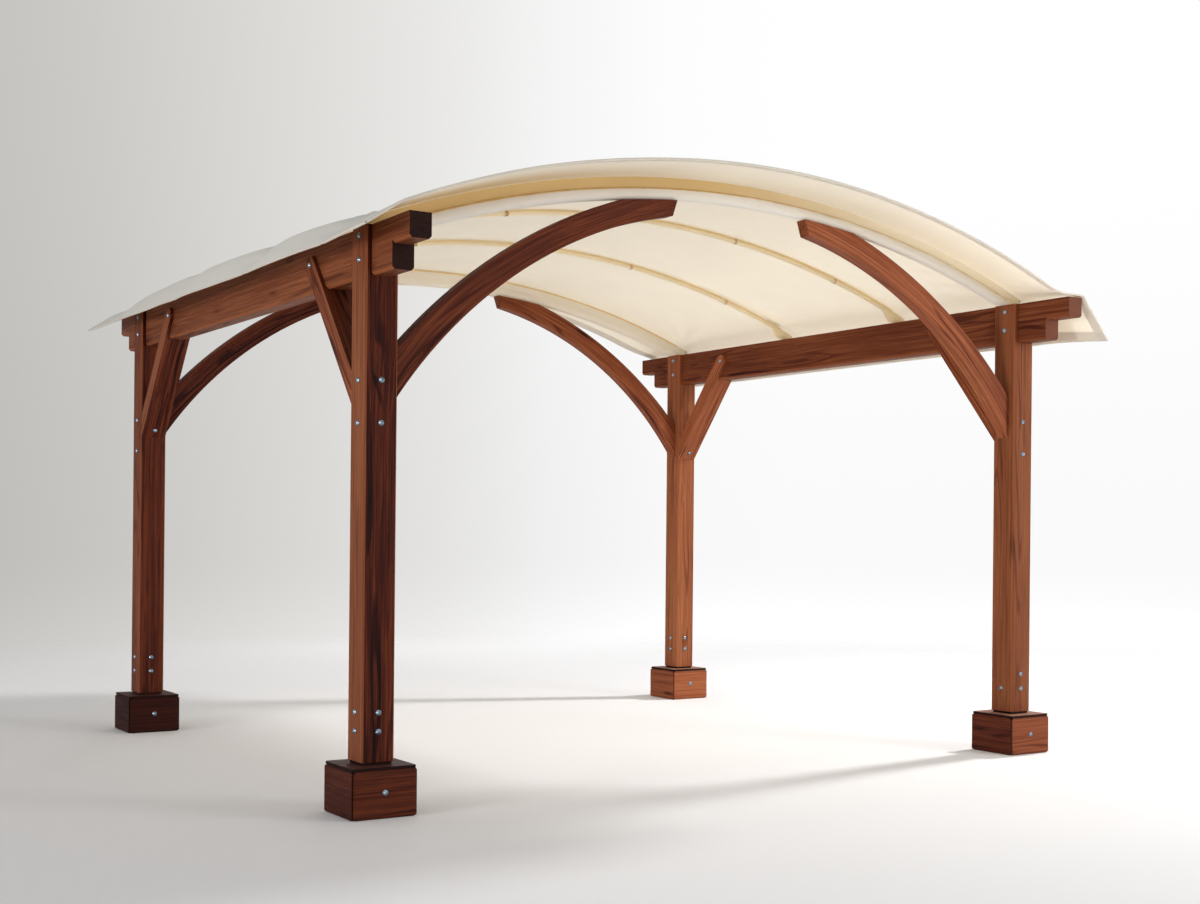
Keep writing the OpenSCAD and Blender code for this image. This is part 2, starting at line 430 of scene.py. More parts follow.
def timber(name, fibre, axis, seed, tone, side=0.0, red=0.3, figure=0.7,
           arris=ARRIS_WEAR_AND_HIGHLIGHT, arris_share=0.45, end=END_TINT, end_share=0.92):
    """Oiled timber. Side is how much paler the two faces that look along X are painted, as painted
    light.
    """
    def build(tree):
        normal = put(tree, "NewGeometry").outputs["True Normal"]
        # Painted light: faces that look along X are made paler, less red and less figured by the
        # side amount.
        pale = span(sums("ABSOLUTE", axes(normal)[0]), 0.5, 1.0, 0.0, side)
        painted_side_less_red = minus(1.0, times(pale, PAINTED_SIDE_LESS_RED), clamp=True)
        painted_side_less_figure = minus(1.0, times(pale, PAINTED_SIDE_LESS_FIGURE), clamp=True)
        grain = use(GRAIN, {"Fibre": fibre(tree), "Seed": seed, "Tone": plus(tone, pale),
                            "Red": times(red, painted_side_less_red), "Figure": times(figure, painted_side_less_figure)})
        masks = use(MASKS, {"Normal": normal, "Fibre axis": axis})
        colour = blend(times(masks["Arris"], arris_share), grain["Color"], arris)
        colour = blend(times(masks["End"], end_share), colour, end)
        bump = add("Bump", {"Height": grain["Height"], "Strength": 0.35, "Distance": 0.0015})
        return {"Base Color": colour, "Roughness": grain["Roughness"],
                "Normal": bump.outputs[0], "Specular IOR Level": 0.08}
    return principled(name, build)


def finish_node(name, material):
    """Gives a CAD node its material."""
    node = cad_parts[name]
    node.data.materials.clear()
    node.data.materials.append(material)


# %% Posts, braces and beams
CORNERS = {"front_left": (-1, -1), "front_right": (1, -1), "rear_left": (-1, 1),
           "rear_right": (1, 1)}
# A post has its tone, the painted light on its sides, its red and its figure, an arch brace its
# tone, a knee brace its tone and the painted light on its sides, and a plinth the tones of its
# boards. The posts' tones are partly painted shade and light: darker on the left, paler on the
# right.
LOOKS_WITH_PAINTED_LIGHT = {"front_left": {"post": (0.31, 0.31, 0.45, 0.85), "arch": 0.44, "knee": (0.47, 0.12),
                        "plinth": (0.38, 0.26)},
         "front_right": {"post": (0.60, 0.03, 0.0, 0.42), "arch": 0.70, "knee": (0.58, 0.0),
                         "plinth": (0.62, 0.36)},
         "rear_left": {"post": (0.37, 0.16, 0.35, 0.6), "arch": 0.34, "knee": (0.40, 0.24),
                       "plinth": (0.12, 0.14)},
         "rear_right": {"post": (0.69, 0.03, 0.1, 0.5), "arch": 0.62, "knee": (0.70, 0.05),
                        "plinth": (0.78, 0.66)}}
BEAM_LOOK = (("left", 0.55, 0.0, tint(14, 3, 4)), ("right", 0.50, 0.12, tint(112, 68, 52)))
POST_SEED, ARCH_SEED, KNEE_SEED, BEAM_SEED = 0.3, 5.1, 10.6, 15.2

for number, (corner, look) in enumerate(LOOKS_WITH_PAINTED_LIGHT.items()):
    finish_node(f"post_{corner}", timber(f"post timber {corner}", fibre_straight("ZXY"), (0, 0, 1),
                                         number + POST_SEED, *look["post"]))
    finish_node(f"arch_brace_{corner}", timber(f"arch timber {corner}", fibre_arched, (0, 0, 0),
                                               number + ARCH_SEED, look["arch"], arris_share=0.0))
    finish_node(f"knee_brace_{corner}", timber(f"knee timber {corner}", fibre_sloped, (0, 0, 0),
                                               number + KNEE_SEED, *look["knee"], figure=0.85,
                                               arris_share=0.0))
for number, (side, tone, red, end) in enumerate(BEAM_LOOK):
    finish_node(f"beam_{side}", timber(f"beam timber {side}", fibre_straight("YXZ"), (0, 1, 0),
                                       number + BEAM_SEED, tone, red=red, figure=0.5, end=end))
print("timber materials:", sum("timber" in m.name for m in bpy.data.materials))

# %% [markdown]
# ## Packers and caps with painted shade
# The cap on each plinth and the packer under each post are nearly black on their edges, and the
# packer all over: painted shade, so the post seems to stand on a shadow line. The same grain is
# used, much darker. The tops of the caps are painted paler, much paler on the right, where the key
# light falls, than on the left, in the cloth's shadow: painted light and shade.

# %% Caps and packers
# Painted light and shade: the cap tops are pale on the right, where the key light falls, and dark
# on the left, in the cloth's shadow.
CAP_TOP_LIT_AND_SHADED = {"left": tint(84, 50, 42), "right": tint(164, 120, 98)}
# Painted shade: the near-black edges of the caps stand for a shadow line.
CAP_EDGE_PAINTED_SHADE = tint(18, 8, 8)
CAP_SEED, PACKER_SEED = 21.4, 23.8
CAP_TIMBER_LIT_AND_SHADED = {side: timber(f"cap timber lit and shaded {side}", fibre_straight("XYZ"), (0, 0, 1), CAP_SEED, 0.04,
                           arris=CAP_EDGE_PAINTED_SHADE, arris_share=0.9, end=top, end_share=0.8)
              for side, top in CAP_TOP_LIT_AND_SHADED.items()}
# Painted shade: the packer is nearly black, standing for the shade in its recess.
PACKER_PAINTED_SHADE = timber("packer timber", fibre_straight("XYZ"), (1, 0, 0), PACKER_SEED, 0.02,
                       arris_share=0.0, end_share=0.9)
for corner in CORNERS:
    finish_node(f"base_cap_{corner}", CAP_TIMBER_LIT_AND_SHADED[corner.split("_")[1]])
    finish_node(f"post_shoe_{corner}", PACKER_PAINTED_SHADE)
print("caps and packers finished")

# %% [markdown]
# ## Helpers for pieces
# Every piece is a mesh made from lists of points and faces, and rides on the frame's one body.

# %% Piece helpers
class Shape:
    """Collects the points and faces of one piece."""

    def __init__(self):
        self.points, self.faces, self.slots = [], [], []

    def strip(self, rows, slot=0, closed=False):
        """Joins rows of equally many points with quads. Closed rows run back to their start."""
        start, wide = len(self.points), len(rows[0])
        self.points += [tuple(p) for row in rows for p in row]
        for r in range(len(rows) - 1):
            for k in range(wide if closed else wide - 1):
                a, b = start + r * wide + k, start + r * wide + (k + 1) % wide
                self.faces.append((a, b, b + wide, a + wide))
                self.slots.append(slot)

    def cap(self, row, slot=0):
        """Closes a ring of points with one face."""
        start = len(self.points)
        self.points += [tuple(p) for p in row]
        self.faces.append(tuple(range(start, len(self.points))))
        self.slots.append(slot)

    def make(self, name, materials, smooth=True, replaces=()):
        """Makes the mesh piece, which rides on the frame."""
        mesh = bpy.data.meshes.new(name)
        mesh.from_pydata(self.points, [], self.faces)
        for material in materials:
            mesh.materials.append(material)
        mesh.polygons.foreach_set("use_smooth", [smooth] * len(mesh.polygons))
        mesh.polygons.foreach_set("material_index", self.slots)
        mesh.update()
        made = in_scene(name, mesh)
        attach(made, "root")
        if replaces:
            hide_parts(*replaces)
        return made


print("a shape starts with", len(Shape().points), "points")

# %% Mesh and number helpers
WELD = 0.00005


def weld(made):
    """Joins points that lie on each other and turns the faces outwards."""
    mesh = bmesh.new()
    mesh.from_mesh(made.data)
    bmesh.ops.remove_doubles(mesh, verts=mesh.verts, dist=WELD)
    bmesh.ops.recalc_face_normals(mesh, faces=mesh.faces)
    mesh.to_mesh(made.data)
    mesh.free()
    return made


def add_uv(made, of_point=None):
    """Writes UVs in metres from a function of the point's index, or else from its X and Y."""
    points = made.data.vertices
    of_point = of_point or (lambda k: points[k].co.xy)
    layer = made.data.uv_layers.new(name="UVMap")
    for loop in made.data.loops:
        layer.data[loop.index].uv = of_point(loop.vertex_index)


def spread(reach, step):
    """Evenly spaced places from -reach to reach, about a step apart."""
    count = round(2 * reach / step)
    return [-reach + 2 * reach * k / count for k in range(count + 1)]


def share(value, low, high):
    """How far a value has come from low to high, from 0 to 1."""
    return min(max((value - low) / (high - low), 0.0), 1.0)


def ripple(x, y, z):
    """Smooth noise from -1 to 1 at a place."""
    return noise.noise(Vector((x, y, z)))


print("helpers ready, spread gives", spread(1.0, 0.5))

# %% [markdown]
# ## Boxed plinths
# The foot of each post stands in a box of four boards. What shows on the real one is the dark
# line of each mitre and the stained arris round every board, so each board is a prism with
# mitred ends, and a Bevel modifier cuts its arrises, which the masks then stain.

# %% Plinths
PLINTH_HALF = (plinth_high.x - plinth_low.x) / 2
PLINTH_TOP = plinth_high.z
BOARD_THICK = 0.027
BOARD_BEVEL = 0.0095
BOARD_ARRIS = tint(24, 11, 9)
MITRE_GAP = 0.0006
BOARDS = (("across", "XZY", (1, 0, 0), 31.0), ("along", "YZX", (0, 1, 0), 33.7))
TONE_SEED = 2.2


def plinth_timber(corner):
    """The boards that run across and the boards that run along one plinth."""
    return [timber(f"plinth timber {way} {corner}", fibre_straight(order), axis,
                   seed + TONE_SEED * tone, tone, figure=0.45, arris=BOARD_ARRIS, arris_share=0.92,
                   end_share=0.0)
            for (way, order, axis, seed), tone in zip(BOARDS, LOOKS_WITH_PAINTED_LIGHT[corner]["plinth"])]


def plinth(corner):
    """Four mitred boards round the foot of one post."""
    sx, sy = CORNERS[corner]
    shape = Shape()
    outer, inner = PLINTH_HALF, PLINTH_HALF - BOARD_THICK
    for quarter in range(4):
        turn = Matrix.Rotation(quarter * math.pi / 2, 3, "Z")
        ring = [(-outer + MITRE_GAP, -outer), (outer - MITRE_GAP, -outer),
                (inner - MITRE_GAP, -inner), (-inner + MITRE_GAP, -inner)]
        rows = [[turn @ Vector((x, y, z)) + Vector((sx * POST_X, sy * POST_Y, 0)) for x, y in ring]
                for z in (0.0, PLINTH_TOP)]
        shape.strip(rows, slot=quarter % 2, closed=True)
        shape.cap(rows[0][::-1], slot=quarter % 2)
        shape.cap(rows[1], slot=quarter % 2)
    made = weld(shape.make(f"plinth_{corner}", plinth_timber(corner), smooth=False,
                           replaces=[f"base_block_{corner}"]))
    bevel = made.modifiers.new("arrises", "BEVEL")
    bevel.width, bevel.segments, bevel.limit_method = BOARD_BEVEL, 2, "ANGLE"
    return made


plinths = [plinth(corner) for corner in CORNERS]
print("plinths:", [p.name for p in plinths])

# %% [markdown]
# ## Zinc plated bolts
# Each bolt head is a low dome with a hexagon socket, on a plain washer, over a thin dark ring of
# painted shade, which stands for the dark shadow round each head. It is one profile swept round
# the bolt's axis, and only the socket's rings are six-sided.

# %% Bolt materials
def zinc(tree):
    spots = cloud(coords(tree), 160.0, 3.0)
    colour = blend(span(spots, 0.35, 0.70), tint(118, 140, 160), tint(168, 188, 204))
    return {"Base Color": colour, "Metallic": 1.0, "Roughness": span(spots, 0.3, 0.7, 0.24, 0.42)}


# Painted shade: the dark ring under each washer stands for the shadow round the bolt head.
def shade_ring_colours(tree):
    spots = cloud(coords(tree), 220.0, 2.0)
    return {"Base Color": blend(spots, tint(26, 18, 16), tint(52, 38, 32)),
            "Roughness": span(spots, 0.3, 0.7, 0.6, 0.85)}


ZINC, PAINTED_SHADE_RING = principled("zinc plated steel", zinc), principled("painted shade ring", shade_ring_colours)
print("bolt materials ready")

# %% Bolt heads
AROUND = 24
# The ring of painted shade under the washer: its radius and thickness.
SHADE_RING_R, SHADE_RING_T = 0.0138, 0.0012
WASHER_R, WASHER_T = 0.0122, 0.0028
HEAD_R, HEAD_T = 0.0102, 0.0090
SOCKET_R, SOCKET_DEEP, SOCKET_LIP = 0.0046, 0.0045, 0.0003
DOME_STEPS, DOME_LOW, DOME_HIGH = 5, math.radians(18), math.radians(72)


def hexagon(radius, angle):
    """The distance from a hexagon's centre to its side, in the direction of the angle."""
    part = (angle % (math.pi / 3)) - math.pi / 6
    return radius * math.cos(math.pi / 6) / math.cos(part)


def add_bolt(shape, place, out, spin):
    """Adds one bolt head at a place, looking along out."""
    out = Vector(out).normalized()
    side = out.orthogonal().normalized()
    other = out.cross(side)

    def ring(radius, height, six=False):
        turns = [2 * math.pi * k / AROUND for k in range(AROUND)]
        reach = [hexagon(radius, a) if six else radius for a in turns]
        return [place + (side * math.cos(a + spin) + other * math.sin(a + spin)) * r + out * height
                for a, r in zip(turns, reach)]

    shape.strip([ring(SHADE_RING_R, 0.0), ring(SHADE_RING_R, SHADE_RING_T), ring(WASHER_R, SHADE_RING_T)], 1, closed=True)
    rows = [ring(WASHER_R, SHADE_RING_T), ring(WASHER_R, WASHER_T), ring(HEAD_R, WASHER_T)]
    for k in range(DOME_STEPS + 1):
        tilt = DOME_LOW + (DOME_HIGH - DOME_LOW) * k / DOME_STEPS
        up = (math.sin(tilt) - math.sin(DOME_LOW)) / (math.sin(DOME_HIGH) - math.sin(DOME_LOW))
        rows.append(ring(HEAD_R * math.cos(tilt) / math.cos(DOME_LOW),
                         WASHER_T + (HEAD_T - WASHER_T) * up))
    rows += [ring(SOCKET_R, HEAD_T - down, six=True) for down in (SOCKET_LIP, SOCKET_DEEP)]
    shape.strip(rows, closed=True)
    shape.cap(rows[-1])


# %% Bolts about each post
CHEEK_Z = (2.466, 2.363)
BRACE_Z = (1.850, 1.668)
FOOT_Z = (0.438, 0.357)
PLINTH_BOLT_Z = 0.110
TONGUE_RUN, TONGUE_UP = 0.485, 0.126
TONGUE_HALF = (knee_high.x - knee_low.x) / 2
KNEE_FOOT_Z = knee_low.z + 0.040
KNEE_HALF_DEEP = 0.0440
SPIN = 0.37


def bolts(corner):
    """All the bolts about one post."""
    sx, sy = CORNERS[corner]

    def on_x(side, z):
        return (POST_HALF * side, 0, z), (side, 0, 0)

    def on_y(side, z, half=POST_HALF):
        return (0, half * side, z), (0, side, 0)

    spots = [on_x(side, z) for z in CHEEK_Z for side in (sx, -sx)]
    for z in BRACE_Z:
        spots += [on_x(sx, z), on_y(sy, z)]
    for z in FOOT_Z:
        spots += [on_x(sx, z), on_y(-1, z), on_y(1, z)]
    spots += [on_x(-sx, z) for z in (FOOT_Z if sy > 0 else FOOT_Z[1:])]
    spots += [on_y(side, PLINTH_BOLT_Z, PLINTH_HALF) for side in (-1, 1)]
    run, tongue_z = -sy * (POST_HALF + TONGUE_RUN), BEAM_UNDER + TONGUE_UP
    spots += [((TONGUE_HALF * side, run, tongue_z), (side, 0, 0)) for side in (-1, 1)]
    down = Vector((0, -sy * math.sin(KNEE_SLOPE), -math.cos(KNEE_SLOPE)))
    along = Vector((0, -sy * math.cos(KNEE_SLOPE), math.sin(KNEE_SLOPE)))
    under = Vector((0, -sy * POST_HALF, tongue_z - TONGUE_RUN * math.tan(KNEE_SLOPE)))
    under += down * KNEE_HALF_DEEP
    spots.append((under + along * ((KNEE_FOOT_Z - under.z) / along.z), down))

    shape = Shape()
    middle = Vector((sx * POST_X, sy * POST_Y, 0))
    for number, (place, out) in enumerate(spots):
        add_bolt(shape, middle + Vector(place), out, number * SPIN)
    return weld(shape.make(f"bolts_{corner}", [ZINC, PAINTED_SHADE_RING]))


bolt_sets = [bolts(corner) for corner in CORNERS]
print("bolts per post:", [len(b.data.polygons) for b in bolt_sets], "faces")

# %% [markdown]
# ## The surface of the cloth
# The cloth is one sheet pulled over four arched ribs, and it folds down past the beams to a hem
# along each eave. In section it is an arc with a short flap at each end, so a list of points
# along that line, each with its outward direction, is all that the sheet, its hems and its
# seams need. Between the ribs the cloth fills a little, most of all near the eaves where
# nothing holds it down, and it puckers where it crosses a rib.

# %% Section of the cloth
SHEET_R = VAULT_R + CLOTH_THICK / 2
ARC_HALF = math.asin(FOLD_X / SHEET_R)
SECTION_STEP = 0.02
FOLD_SOFTEN = 3


def flap_line(side):
    """Points from the fold to the hem on one side, without the fold itself."""
    fold = Vector((side * SHEET_R * math.sin(ARC_HALF), 0, VAULT_Z + SHEET_R * math.cos(ARC_HALF)))
    hem = Vector((side * HEM_X, 0, fold.z - DROP[side]))
    count = math.ceil((hem - fold).length / SECTION_STEP)
    return [fold.lerp(hem, k / count) for k in range(1, count + 1)]


def make_section():
    """Points across the sheet from the left hem to the right one, and the way out at each."""
    count = math.ceil(2 * ARC_HALF * SHEET_R / SECTION_STEP)
    angles = [-ARC_HALF + 2 * ARC_HALF * k / count for k in range(count + 1)]
    arc = [Vector((SHEET_R * math.sin(a), 0, VAULT_Z + SHEET_R * math.cos(a))) for a in angles]
    line = flap_line(-1)[::-1] + arc + flap_line(1)
    for _ in range(FOLD_SOFTEN):
        inner = [(a + 2 * b + c) / 4 for a, b, c in zip(line, line[1:], line[2:])]
        line = [line[0]] + inner + [line[-1]]
    ways = []
    for k in range(len(line)):
        along = line[min(k + 1, len(line) - 1)] - line[max(k - 1, 0)]
        ways.append(Vector((-along.z, 0, along.x)).normalized())
    return line, ways


SECTION, OUTWARD = make_section()
ACROSS = [0.0]
for a, b in zip(SECTION, SECTION[1:]):
    ACROSS.append(ACROSS[-1] + (b - a).length)
FLAT_WIDTH, FLAT_LENGTH = ACROSS[-1], 2 * CLOTH_END
print(f"the cloth is cut to {FLAT_WIDTH:.3f} by {FLAT_LENGTH:.3f} m")

# %% Fullness, puckers and creases
EAVE_FULL, CROWN_FULL, SIDE_MOST = 0.044, 0.005, 1.08
PINCH = (1.0, 1.0, 0.30, 0.8)
PINCH_REACH, PINCH_SHAPE, BAY_SHAPE = 0.07, 0.8, 0.3
PUCKER, PUCKER_REACH, PUCKER_PITCH, PUCKER_BEND, PUCKER_FROM = 0.0030, 0.10, 0.085, 5, 0.03
UNEVEN, UNEVEN_FROM = 0.0035, 0.15
HEM_WAVE, WAVE_FROM = 0.0015, 0.96
DRAG, DRAG_ELSEWHERE, DRAG_REACH = 0.011, 0.35, 0.75
DRAG_FOLDS, DRAG_BEND, DRAG_FROM_X, DRAG_FROM_Y = 17.0, 1.5, 0.12, 0.07


def fill(y):
    """How full the cloth is: 1 well inside a bay, and nothing at a tight rib and past the ends."""
    if abs(y) >= RIB_Y[-1]:
        return 0.0
    held = max(pinch * math.exp(-(abs(y - rib) / PINCH_REACH) ** PINCH_SHAPE)
               for pinch, rib in zip(PINCH, RIB_Y))
    ends = math.sin(math.pi * (y - RIB_Y[0]) / (RIB_Y[-1] - RIB_Y[0])) ** BAY_SHAPE
    return (1.0 - held) * ends


def drag(x, y):
    """Folds that fan out from the corners, where the cloth is pulled down hardest."""
    dx, dy = POST_X - abs(x), RIB_Y[-1] - abs(y)
    if dx <= 0 or dy <= 0:
        return 0.0
    fan = math.sin(DRAG_FOLDS * math.atan2(dy, dx) + DRAG_BEND * ripple(x, y, 9.0))
    near = share(dx, 0, DRAG_FROM_X) * share(dy, 0, DRAG_FROM_Y)
    return (DRAG * (1.0 if x < 0 and y < 0 else DRAG_ELSEWHERE) * fan
            * near * math.exp(-math.hypot(dx, dy) / DRAG_REACH))


def lift(x, y):
    """How far the cloth stands off its plain arc, outwards."""
    side = min(abs(x) / FOLD_X, SIDE_MOST)
    swell = (CROWN_FULL + EAVE_FULL * side ** 5) * (1.0 - share(abs(x), FOLD_X, HEM_X)) * fill(y)
    near = min(abs(y - r) for r in RIB_Y)
    folds = math.sin(2 * math.pi * x / PUCKER_PITCH + PUCKER_BEND * ripple(x * 2.1, y, 3.0))
    pucker = (PUCKER * side ** 3 * math.exp(-near / PUCKER_REACH) * folds
              * share(near, 0, PUCKER_FROM))
    rough = UNEVEN * ripple(x * 1.4, y * 1.7, 0.5) * share(near, 0, UNEVEN_FROM)
    edge = HEM_WAVE * share(side, WAVE_FROM, SIDE_MOST) * ripple(y * 3.0, x, 7.0)
    return swell + pucker + rough + edge + drag(x, y)


print(f"fullness at the eave {lift(-FOLD_X, 0.0) * 1000:.0f} mm")

# %% Sagging free ends
FLARE_LEFT, SAG_RIGHT, SAG_ACROSS, SAG_ALONG = 0.016, 0.132, 2.2, 1.4
SAG_FOLD, SAG_HEM, SAG_REAR = 0.060, 0.024, 0.4
REST_ABOVE, REST_ROUND = 0.013, 0.03


def sag(x, y):
    """How far a free end of the cloth hangs below the arc, until it rests on a beam's tail."""
    free = CLOTH_END - RIB_Y[-1] - END_RIB_HALF
    past = max(0.0, (abs(y) - RIB_Y[-1] - END_RIB_HALF) / free)
    deep = (FLARE_LEFT + SAG_RIGHT) * share(x, -HEM_X, HEM_X) ** SAG_ACROSS - FLARE_LEFT
    if x > 0:
        room = VAULT_Z + math.sqrt(SHEET_R ** 2 - min(x, BEAM_OUT) ** 2) - BEAM_TOP - REST_ABOVE
        less = max(REST_ROUND - abs(deep - room), 0.0)
        deep = min(deep, room) - less * less / (4 * REST_ROUND)
        deep += ((SAG_FOLD - deep) * share(x, BEAM_OUT, FOLD_X)
                 + (SAG_HEM - SAG_FOLD) * share(x, FOLD_X, HEM_X))
    return deep * past ** SAG_ALONG * (SAG_REAR if y > 0 else 1.0)


def on_cloth(base, way, y, off=0.0):
    """A point of the cloth at y, or off it, from a point of its section and the way out there."""
    return base + way * (lift(base.x, y) + off) + Vector((0, y, -sag(base.x, y)))


print(f"free end over the right beam hangs {sag(POST_X, -CLOTH_END) * 1000:.0f} mm")

# %% [markdown]
# ## Woven cloth
# The cloth is a cream canvas. Light passes through it, so a Translucent BSDF is mixed with the
# Principled one: that is what makes the underside glow warm. The outside is given a greyer colour
# as painted shade, so it stays a paler, greyer white. Where the cloth is doubled, at hems and
# sleeves, less light comes through, and the front end of the sheet is painted golden on its
# shaded side, most on the left: painted shade and glow. The weave is a group, because the sheet
# and the sleeves share it.

# %% Group: weave
BLOTCH_SCALE, BLOTCH_SHARE = 2.2, 0.75
SLUB_PITCH = (3.0, 160.0, 1.0)
SHADE_EDGE = (0.35, 0.65)


def make_weave():
    tree, i, o = group("canvas weave",
                       [("Place", "Vector", None), ("Threads per metre", "Float", 900.0),
                        ("Mottle", "Float", 0.5)],
                       [("Height", "Float"), ("Shade", "Float")])
    parts = axes(vectors("SCALE", {0: i["Place"], "Scale": i["Threads per metre"]})[0])
    warp, weft = (sums("SINE", times(parts[k], math.pi)) for k in (0, 1))
    tree.links.new(times(warp, weft), o["Height"])
    blotch = cloud(i["Place"], BLOTCH_SCALE, 5.0, 0.6)
    slub = cloud(vectors("MULTIPLY", {0: i["Place"], 1: SLUB_PITCH})[0], 1.0, 3.0)
    both = plus(times(blotch, BLOTCH_SHARE), times(slub, 1.0 - BLOTCH_SHARE))
    tree.links.new(times(span(both, *SHADE_EDGE), i["Mottle"]), o["Shade"])
    return tree


WEAVE = make_weave()
print("group", WEAVE.name, "ready")

# %% Cloth material
THREADS, MOTTLE = 900.0, 0.35
# Painted light: where the web and the seam tape pale towards the right, under the key light.
PAINTED_LIGHT_SPAN = (-0.4, 1.2)
# Painted golden shade: the front end of the sheet, up to the front rib and strongest on the left,
# is tinted golden to stand for light and shade under the front overhang.
PAINTED_GOLD_FRONT, PAINTED_GOLD_BEHIND, PAINTED_GOLD_SHARE = tint(196, 162, 108), tint(220, 180, 112), 0.92
PAINTED_GOLD_ACROSS, PAINTED_GOLD_FROM, PAINTED_GOLD_TO = (0.3, 2.3, 1.0, 0.22), (-2.02, -1.66), (-1.62, -1.60, 1.0, 0.0)
LEFT_FLAP, LEFT_DIM = (0.26, 0.40), 0.22
RIGHT_FLAP, RIGHT_DIM = (FLAT_WIDTH - 0.40, FLAT_WIDTH - 0.22), 0.08
# Painted shade: the outside face of the sheet takes this greyer colour, standing for the shade on
# the cloth's top.
OUTSIDE_PAINTED_SHADE = tint(222, 219, 212)


def cloth(name, facing, glow, through, sheet=False, lit_right_tint=None):
    """Canvas: facing is its colour in light from the front, glow its colour in light from behind.
    Through is the share of light that passes, and the last argument is the tint that both colours
    are painted towards on the right: painted light."""
    material, tree, surface = blank_material(name)
    place = coords(tree, "UV")
    weave = use(WEAVE, {"Place": place, "Threads per metre": THREADS, "Mottle": MOTTLE})
    front = blend(weave["Shade"], facing, dimmed(facing, 0.90))
    behind = blend(weave["Shade"], glow, dimmed(glow, 0.92))
    x, y = axes(place)[:2]
    # Painted light: both colours pale towards the right.
    if lit_right_tint:
        right = span(x, *PAINTED_LIGHT_SPAN)
        front, behind = blend(right, front, lit_right_tint), blend(right, behind, lit_right_tint)
    if sheet:
        # Painted golden shade near the front rib, strongest on the left.
        seam = times(span(y, *PAINTED_GOLD_FROM), span(y, *PAINTED_GOLD_TO))
        painted_gold = times(times(span(x, *PAINTED_GOLD_ACROSS), seam), PAINTED_GOLD_SHARE)
        front = blend(painted_gold, front, PAINTED_GOLD_FRONT)
        behind = blend(painted_gold, behind, PAINTED_GOLD_BEHIND)
        # Painted shade: one face, the outside, shows the greyer colour.
        front = blend(put(tree, "NewGeometry").outputs["Backfacing"], OUTSIDE_PAINTED_SHADE, front)
        flap = minus(1.0, span(x, *LEFT_FLAP))
        through = minus(through, times(flap, LEFT_DIM))
        through = minus(through, times(span(x, *RIGHT_FLAP), RIGHT_DIM))
    bump = add("Bump", {"Height": weave["Height"], "Strength": 0.25, "Distance": 0.0004})
    shader = add("BsdfPrincipled", {"Base Color": front, "Roughness": 0.9,
                                    "Specular IOR Level": 0.05, "Sheen Weight": 0.05,
                                    "Normal": bump.outputs[0]})
    lit = add("BsdfTranslucent", {"Color": behind, "Normal": bump.outputs[0]})
    mixed = add("MixShader", {0: through, 1: shader.outputs[0], 2: lit.outputs[0]})
    tree.links.new(mixed.outputs[0], surface)
    return material


CANVAS = cloth("cream canvas", tint(246, 239, 225), tint(250, 236, 209), 0.28, sheet=True)
HEM_CANVAS = cloth("doubled canvas", tint(230, 224, 214), tint(242, 232, 210), 0.23)
SLEEVE_CANVAS = cloth("sleeve canvas", tint(240, 236, 229), tint(250, 240, 218), 0.22)
# Painted shade and light: the web is a golden copy of the canvas that pales to the right.
WEB_CANVAS = cloth("web canvas", tint(230, 206, 154), tint(244, 214, 150), 0.42,
                   lit_right_tint=tint(254, 246, 228))
# Painted light: the middle sleeves' canvas is a brighter, warmer copy, to cancel the shade they sit
# in under the sheet.
MID_CANVAS_PAINTED_LIGHT = cloth("middle sleeve canvas with painted light", tint(254, 244, 222), tint(255, 243, 206), 0.45)
REAR_CANVAS = cloth("rear sleeve canvas", tint(250, 243, 232), tint(255, 250, 238), 0.42)
# The seam tape's golden brown is its own colour; its paling to the right is painted light.
THREAD = cloth("seam tape", tint(202, 166, 110), tint(216, 174, 112), 0.15,
               lit_right_tint=tint(224, 204, 166))
# Painted light: the middle sleeves' seam tape is a paler copy of the tape, to cancel the shade
# along their sides.
PALE_THREAD_PAINTED_LIGHT = cloth("seam tape with painted light", tint(240, 214, 160), tint(250, 218, 156), 0.35)
print("cloth materials ready")

# %% [markdown]
# ## The sheet
# The sheet is one continuous grid, dense enough for its puckers. It keeps UVs in metres, taken
# along its own length and width, so the weave keeps its true pitch over the curve.

# %% Canopy sheet
ALONG_STEP = 0.025
STATIONS = spread(CLOTH_END, ALONG_STEP)


def make_sheet():
    shape = Shape()
    shape.strip([[on_cloth(base, way, y) for base, way in zip(SECTION, OUTWARD)] for y in STATIONS])
    made = shape.make("canopy_cloth", [CANVAS], replaces=["canopy"])
    wide = len(SECTION)
    add_uv(made, lambda k: (ACROSS[k % wide], STATIONS[k // wide]))
    return made


canopy = make_sheet()
print("canopy:", len(canopy.data.polygons), "faces")

# %% [markdown]
# ## Hems
# All four edges are turned under and sewn. A hem is a strip that leaves the sheet's edge, rolls
# round it and runs back underneath. Seen from below it reads as a narrow, greyer band.

# %% Hems
HEM_WIDE, HEM_ROLL, HEM_TUCK = 0.065, 0.0050, 0.0004


def hem_profile():
    """How far in from the edge, and how far off the sheet, at each step of the turned hem."""
    roll = [(-HEM_ROLL * math.sin(a), -HEM_ROLL + HEM_ROLL * math.cos(a))
            for a in (k * math.pi / 4 for k in range(5))]
    return roll + [(HEM_WIDE * t, -HEM_ROLL * (2.0 - 1.4 * t)) for t in (0.25, 0.5, 0.75, 1.0)]


def off_cloth(distance, y, off):
    """A point at a distance across the sheet from the left hem, with off added outwards."""
    distance = min(max(distance, 0.0), FLAT_WIDTH)
    k = next(n for n in range(1, len(ACROSS)) if ACROSS[n] >= distance) - 1
    part = (distance - ACROSS[k]) / (ACROSS[k + 1] - ACROSS[k])
    return on_cloth(SECTION[k].lerp(SECTION[k + 1], part),
                    OUTWARD[k].lerp(OUTWARD[k + 1], part), y, off)


